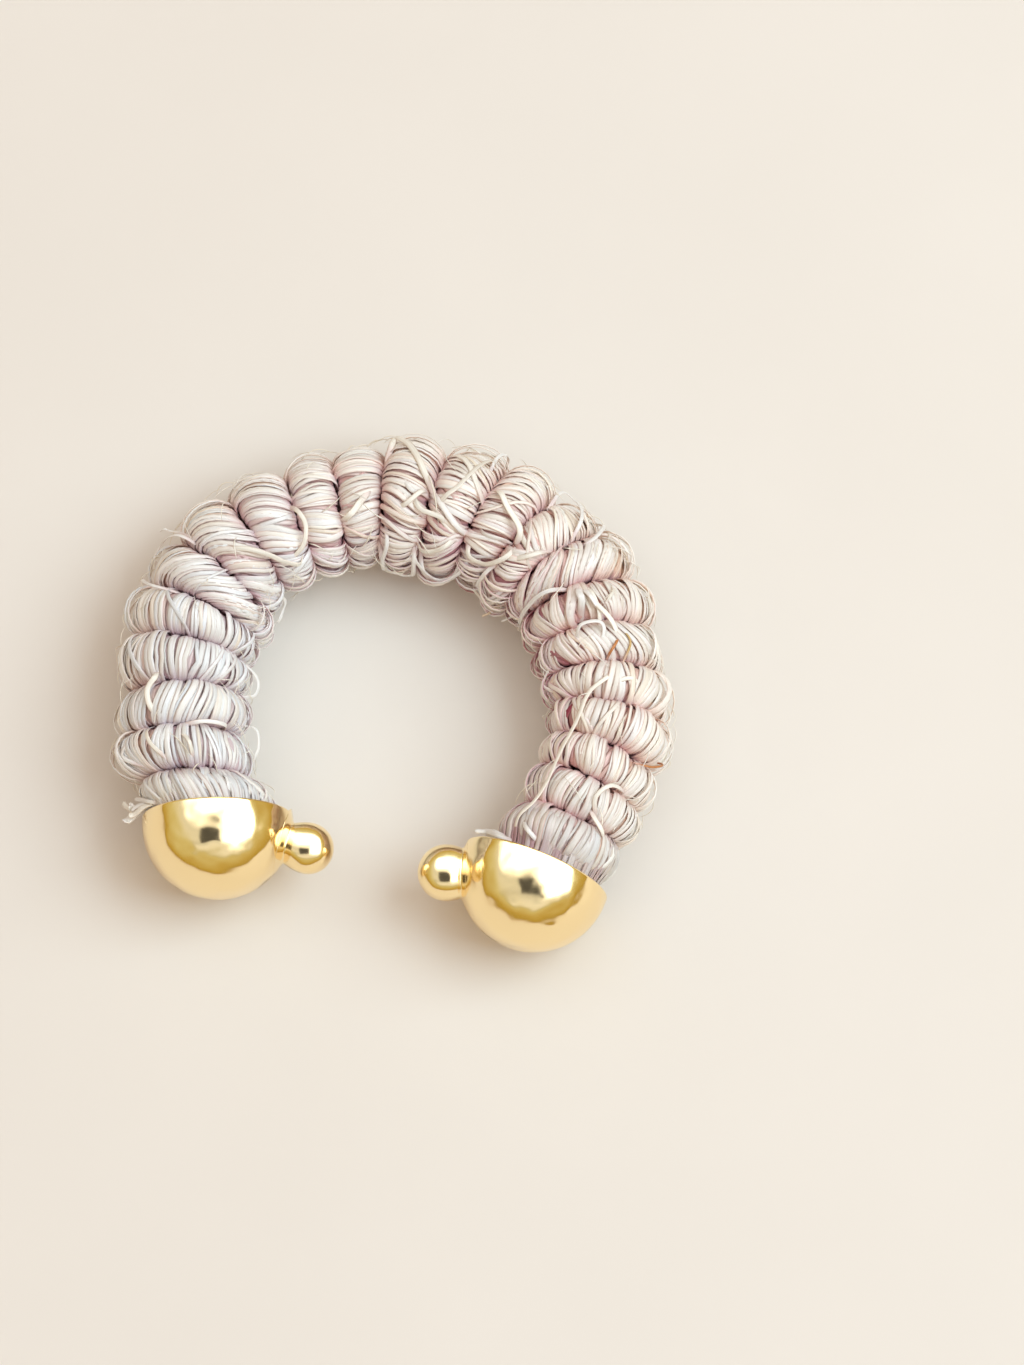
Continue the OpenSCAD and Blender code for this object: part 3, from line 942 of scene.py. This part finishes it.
def mouth_strands_piece(name, turn, cap, mouth, blue, slant, dim):
    """Strands over an end turn to the radius of its cap's mouth.

    Slant is how many degrees round they go on the way, and dim how far they sink beside the C's hollow
    and how much painted shade they take there.
    """
    rng = np.random.default_rng(SEED * 17 + turn)
    strands = Strands()
    around = (np.arange(MOUTH_STRANDS) + rng.uniform(-0.4, 0.4, MOUTH_STRANDS)) * 360 / MOUTH_STRANDS
    share = around / 360
    ahead = MOUTH_START + (1 - MOUTH_START) * np.linspace(0, 1, MOUTH_STEPS)
    place = turn + (cap - turn) * ahead + 0 * around[:, None]
    crest = CORD[turn, RADIUS]
    height = (crest - COIL_INNER) / 2
    near = crest - height * (1 - np.sqrt(1 - (np.minimum(ahead, 0) / 0.5) ** 2))
    hollow = smoothstep(*HOLLOW_START, around) * smoothstep(*HOLLOW_END, around)
    sunk = crest - mouth + 0.4 * dim * hollow
    radius = near - smoothstep(0.0, 0.65, ahead) * sunk[:, None] + slow_wave(rng, share, 9, 0.05)[:, None]
    radius = radius + rng.uniform(-0.18, -0.03, MOUTH_STRANDS)[:, None]
    arounds = around[:, None] + (slant + slow_wave(rng, share, 9, 3.0))[:, None] * ahead + 0 * place
    lines, normals = off_core(place, arounds, radius)
    tints = strand_tints(rng, MOUTH_STRANDS, blue)[:, None] * turn_looks(turn)["bright"] + 0 * lines
    # Painted shade: darker into the cap's mouth, beside the C's hollow, down in the valley and in streaks
    depth = smoothstep(-0.1, 0.5, ahead) * (0.3 + dim * hollow[:, None])
    depth = depth + 0.75 * smoothstep(-0.15, -0.45, ahead)
    shade_streak = smoothstep(0.1, 1.0, slow_wave(rng, share, 18, 0.5))[:, None] * smoothstep(-0.45, 0.0, ahead)
    depth = depth * rng.uniform(0.3, 1.05, MOUTH_STRANDS)[:, None] + dim * shade_streak
    tints = mixed(tints, MOUTH_SHADE, np.minimum(depth, DARKEST))
    widths = strand_widths(rng, MOUTH_STRANDS) * 0.95
    # The strands' edges and undersides take the under layer's colour as painted shade
    strands.add(rested(lines), normals, widths, widths * 0.32, tints, CREST_UNDER,
                deep=rng.uniform(0.1, 0.6, MOUTH_STRANDS))
    fibre_piece(name, strands)


# Fine hairs, and the edges of the C in degrees round the coil, where most of them stand
WHISKERS = 260
WHISKER_STEPS = 7
WHISKER_EDGES = (8, 172)


def whiskers_piece():
    """Fine hairs that stand off the coil, most of them at its two edges."""
    rng = np.random.default_rng(SEED * 13)
    strands = Strands()
    place = rng.uniform(1.2, TURNS - 0.2, WHISKERS)
    edge = np.where(rng.uniform(0, 1, WHISKERS) < 0.5, *WHISKER_EDGES)
    at_edge = rng.uniform(0, 1, WHISKERS) < 0.75
    beside_edge = edge + rng.normal(0, 18, WHISKERS)
    around = np.where(at_edge, beside_edge, rng.uniform(20, 160, WHISKERS))
    run = rng.uniform(0.15, 0.6, WHISKERS) * rng.choice([-1, 1], WHISKERS)
    climb = rng.normal(0, 14, WHISKERS)
    off = rng.uniform(0.1, 0.45, WHISKERS)
    t = np.linspace(0, 1, WHISKER_STEPS)
    places = np.clip(place[:, None] + run[:, None] * t, 0.6, TURNS + 0.5)
    arounds = around[:, None] + climb[:, None] * t + rng.normal(0, 10, WHISKERS)[:, None] * t ** 2
    arch = np.sin(np.pi * t * rng.uniform(0.5, 1, WHISKERS)[:, None])
    radius = straight(places, RADIUS) - 0.08 + off[:, None] * arch
    lines, normals = off_core(places, arounds, radius)
    tints = mixed(CREAM, WHITE, rng.uniform(0, 1, WHISKERS))[:, None] + 0 * lines
    widths = rng.uniform(0.035, 0.08, WHISKERS)
    thicks = rng.uniform(0.03, 0.05, WHISKERS)
    # The hairs' edges and undersides take tan as painted shade
    strands.add(rested(lines), normals, widths, thicks, tints, TAN, sides=4, taper=0.3)
    fibre_piece("whiskers", strands)


mouth_strands_piece("left_mouth_strands", turn=1, cap=0, mouth=3.12, blue=1.0, slant=0, dim=0.0)
mouth_strands_piece("right_mouth_strands", turn=22, cap=23, mouth=2.95, blue=0.25, slant=-16, dim=0.65)
loose_strands_piece()
whiskers_piece()

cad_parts["core"].data.materials.clear()
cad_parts["core"].data.materials.append(core_material())


# The caps

# Sides round a cup and round a ball, the lip's radius, and the widths of the fillets at the ball and the cap
CUP_SIDES = 200
BALL_SIDES = 96
LIP_R = 0.13
BALL_FILLET = 0.3
CAP_FILLET = 0.45


def revolve(profile, spot, axis, sides):
    """Points, side faces and end faces of a profile of (radius, distance along the axis) turned round it."""
    axis = unit(np.array(axis, float))
    flat = unit(np.cross(axis, [0.0, 0.0, 1.0]))
    upright = np.cross(flat, axis)
    angle = 2 * np.pi * np.arange(sides) / sides
    ring = np.cos(angle)[:, None] * flat + np.sin(angle)[:, None] * upright
    points = spot + profile[:, 0, None, None] * ring + profile[:, 1, None, None] * axis
    quads = ring_quads(0, len(profile), sides)[:, [0, 3, 2, 1]]
    return points.reshape(-1, 3), quads, ring_ends(0, len(profile), sides)[:, ::-1]


def arc(middle_r, middle_z, r, start, stop, steps):
    """Points of a profile on an arc, from a start to a stop in degrees."""
    a = np.radians(np.linspace(start, stop, steps))
    return np.stack([middle_r + r * np.cos(a), middle_z + r * np.sin(a)], -1)


def cup_profile():
    """From the inside of the round end, out round the lip of the mouth, to the outer tip."""
    inner_r = CAP_R - CAP_SHEET
    inside = arc(0, 0, inner_r, 89.5, 0, 30)
    lips = np.concatenate([arc(inner_r + LIP_R, -CAP_WALL + LIP_R, LIP_R, 180, 270, 7),
                           arc(CAP_R - LIP_R, -CAP_WALL + LIP_R, LIP_R, 270, 360, 7)])
    outside = arc(0, 0, CAP_R, 0, 89.7, 90)
    return np.concatenate([inside, lips, outside])


def soft_max(a, b, width):
    """The larger of two, with their meeting rounded over a width."""
    h = np.maximum(width - np.abs(a - b), 0) / width
    return np.maximum(a, b) + h ** 3 * width / 6


def ball_profile(distance, ball_r):
    """The ball, its collar and the solder fillets, along the line from inside the cap to the ball."""
    start, skin = 3.40, 0.003
    along = np.linspace(start, distance, 70)
    dome = np.sqrt(np.maximum((CAP_R + skin) ** 2 - along ** 2, 0))
    ball = ball_r * np.sqrt(np.maximum(1 - ((along - distance) / (BALL_STRETCH * ball_r)) ** 2, 0))
    neck = soft_max(dome, soft_max(ball, 0.9 * COLLAR_R, BALL_FILLET), CAP_FILLET)
    neck[-1] = ball_r
    front = arc(0, distance, ball_r, 0, 89.5, 40)[1:]
    root = [[neck[0] * 0.9, along[0] - 0.2]]
    return np.concatenate([root, np.stack([neck, along], -1), front])


def end_cap_piece(name, spot, axis_angle, ball, ball_r):
    """A cap with its ball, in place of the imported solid, finer and with solder fillets."""
    middle = np.array([*(spot - row_origin), CAP_R])
    turn = math.radians(axis_angle)
    points, quads, ends = revolve(cup_profile(), middle, (math.sin(turn), -math.cos(turn), 0), CUP_SIDES)
    ball_way = np.array([*(ball - spot), 0.0])
    profile = ball_profile(np.linalg.norm(ball_way), ball_r)
    more, more_quads, more_ends = revolve(profile, middle, ball_way, BALL_SIDES)
    faces = [quads, ends, more_quads + len(points), more_ends + len(points)]
    piece = make_mesh(name + "_polished", np.concatenate([points, more]), faces, gold)
    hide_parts(name)
    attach(piece, "root")


left_ball = np.array([GAP_MIDDLE_X - BALL_GAP / 2 - LEFT_BALL_R, left_spot[1] - LEFT_BALL_AHEAD])
right_ball = np.array([GAP_MIDDLE_X + BALL_GAP / 2 + RIGHT_BALL_R, right_spot[1] + RIGHT_BALL_BACK])
end_cap_piece("end_cap_left", left_spot, LEFT_TURN, left_ball, LEFT_BALL_R)
end_cap_piece("end_cap_right", right_spot, -RIGHT_TURN, right_ball, RIGHT_BALL_R)


# Floor, camera and light

FLOOR_HALF = 1200
CAMERA_AIM = Vector((6.0, 1.64, 0)) * MM
CAMERA_DISTANCE = 300 * MM
CAMERA_ELEVATION = math.radians(73)
CAMERA_LENS = 154.3
LIGHT_BOUNCES = 8
DAYLIGHT = (0.91, 1.12, 1.27)
ROOM_COLOUR = (1.0, 0.66, 0.42, 1)
ROOM_STRENGTH = 0.52

# What the caps reflect from the room's walls: the sine of the height, then the colour
WALLS = [
    (0.00, (0.40, 0.27, 0.03)),
    (0.12, (0.53, 0.38, 0.09)),
    (0.41, (0.67, 0.60, 0.31)),
    (0.60, (0.80, 0.79, 0.72)),
]

# The sky's plane: left, right, front and back. A patch on it has these too, and the softness of its edges
SKY_PLANE = (-900, 1000, -950, 750)
SKY_HEIGHT = 300
SKY_STEPS = 90
WINDOW_PATCHES = [(-300, 520, -40, 420, 150), (45, 570, -370, 420, 150)]
STRIP_PATCH = (-420, 560, -640, -330, 120)
DARK_PATCH = (-180, 70, -320, -90, 22)
WINDOW_GLOW = 4.2
DARK_GLOW = 0.09
STRIP_SHARE = 0.6


def add_floor():
    corners = np.array([[-1, -1, 0], [1, -1, 0], [1, 1, 0], [-1, 1, 0]]) * FLOOR_HALF
    floor = make_mesh("floor", corners.astype(float), [np.array([[0, 1, 2, 3]])], floor_material())


def add_camera():
    data = bpy.data.cameras.new("camera")
    data.lens = CAMERA_LENS
    data.clip_start, data.clip_end = 0.01, 10
    camera = add_object("camera", data)
    back = Vector((0, -math.cos(CAMERA_ELEVATION), math.sin(CAMERA_ELEVATION)))
    camera.location = CAMERA_AIM + back * CAMERA_DISTANCE
    camera.rotation_euler = (-back).to_track_quat("-Z", "Y").to_euler()
    bpy.context.scene.camera = camera


def add_panel(name, place, side, watts):
    """A square light at a place in millimetres that faces the cuff and doesn't show in the caps."""
    data = bpy.data.lights.new(name, "AREA")
    data.shape = "RECTANGLE"
    data.size = data.size_y = side * MM
    data.energy = watts
    data.color = DAYLIGHT
    panel = add_object(name, data)
    panel.location = Vector(place) * MM
    panel.rotation_euler = (-panel.location).to_track_quat("-Z", "Y").to_euler()
    panel.visible_camera = False
    panel.visible_glossy = False


def add_world():
    """A pale room for the light, whose walls, warm below and pale above, show in reflections."""
    world = bpy.data.worlds.new("room")
    world.use_nodes = True
    nodes, links = world.node_tree.nodes, world.node_tree.links
    pale = nodes["Background"]
    pale.inputs["Color"].default_value = ROOM_COLOUR
    pale.inputs["Strength"].default_value = ROOM_STRENGTH
    way_seen = nodes.new("ShaderNodeTexCoord")
    parts = nodes.new("ShaderNodeSeparateXYZ")
    links.new(way_seen.outputs["Generated"], parts.inputs[0])
    walls = nodes.new("ShaderNodeBackground")
    links.new(add_ramp(nodes, links, parts.outputs["Z"], WALLS), walls.inputs["Color"])
    ray = nodes.new("ShaderNodeLightPath")
    mix = nodes.new("ShaderNodeMixShader")
    links.new(ray.outputs["Is Glossy Ray"], mix.inputs["Fac"])
    links.new(pale.outputs["Background"], mix.inputs[1])
    links.new(walls.outputs["Background"], mix.inputs[2])
    links.new(mix.outputs["Shader"], nodes["World Output"].inputs["Surface"])
    bpy.context.scene.world = world


def sky_material():
    """Light where the sky's patches are, and nothing between them, by the mesh's grain: glow, then share."""
    material = bpy.data.materials.new("sky")
    material.use_nodes = True
    nodes, links = material.node_tree.nodes, material.node_tree.links
    nodes.clear()
    level = nodes.new("ShaderNodeAttribute")
    level.attribute_name = "grain"
    parts = nodes.new("ShaderNodeSeparateXYZ")
    shine = nodes.new("ShaderNodeEmission")
    clear = nodes.new("ShaderNodeBsdfTransparent")
    mix = nodes.new("ShaderNodeMixShader")
    out = nodes.new("ShaderNodeOutputMaterial")
    links.new(level.outputs["Vector"], parts.inputs[0])
    links.new(parts.outputs["X"], shine.inputs["Strength"])
    links.new(parts.outputs["Y"], mix.inputs["Fac"])
    links.new(clear.outputs["BSDF"], mix.inputs[1])
    links.new(shine.outputs["Emission"], mix.inputs[2])
    links.new(mix.outputs["Shader"], out.inputs["Surface"])
    return material


def soft_patch(x, y, left, right, low, high, edge):
    """1 inside a patch of the sky's plane and 0 outside, with soft edges."""
    across = smoothstep(left - edge, left + edge, x) * smoothstep(right + edge, right - edge, x)
    return across * smoothstep(low - edge, low + edge, y) * smoothstep(high + edge, high - edge, y)


def add_sky():
    """What the caps reflect from above: a bright window, a pale strip before it, and a dark patch."""
    left, right, front, back = SKY_PLANE
    x, y = np.meshgrid(np.linspace(left, right, SKY_STEPS), np.linspace(front, back, SKY_STEPS))
    window = np.maximum(*(soft_patch(x, y, *patch) for patch in WINDOW_PATCHES))
    strip = soft_patch(x, y, *STRIP_PATCH)
    dark = soft_patch(x, y, *DARK_PATCH)
    glow = np.maximum(WINDOW_GLOW * window, strip) * (1 - dark) + DARK_GLOW * dark
    share = np.maximum(np.maximum(window, STRIP_SHARE * strip), dark)
    points = np.stack([x, y, SKY_HEIGHT + 0 * x], -1).reshape(-1, 3)
    cell = (np.arange(SKY_STEPS - 1)[:, None] * SKY_STEPS + np.arange(SKY_STEPS - 1)).ravel()
    quads = np.stack([cell, cell + 1, cell + SKY_STEPS + 1, cell + SKY_STEPS], -1)
    grain = np.stack([glow, share, 0 * glow], -1).reshape(-1, 3)
    sky = make_mesh("sky", points, [quads], sky_material(), grain=grain)
    sky.visible_camera = False
    sky.visible_diffuse = False
    sky.visible_shadow = False


add_floor()
add_camera()
add_world()
add_panel("window", (255, 0, 320), 300, 0.94)
add_panel("ceiling", (0, -15, 420), 600, 0.71)
add_sky()
bpy.context.scene.view_settings.view_transform = "Standard"
bpy.context.scene.cycles.diffuse_bounces = LIGHT_BOUNCES
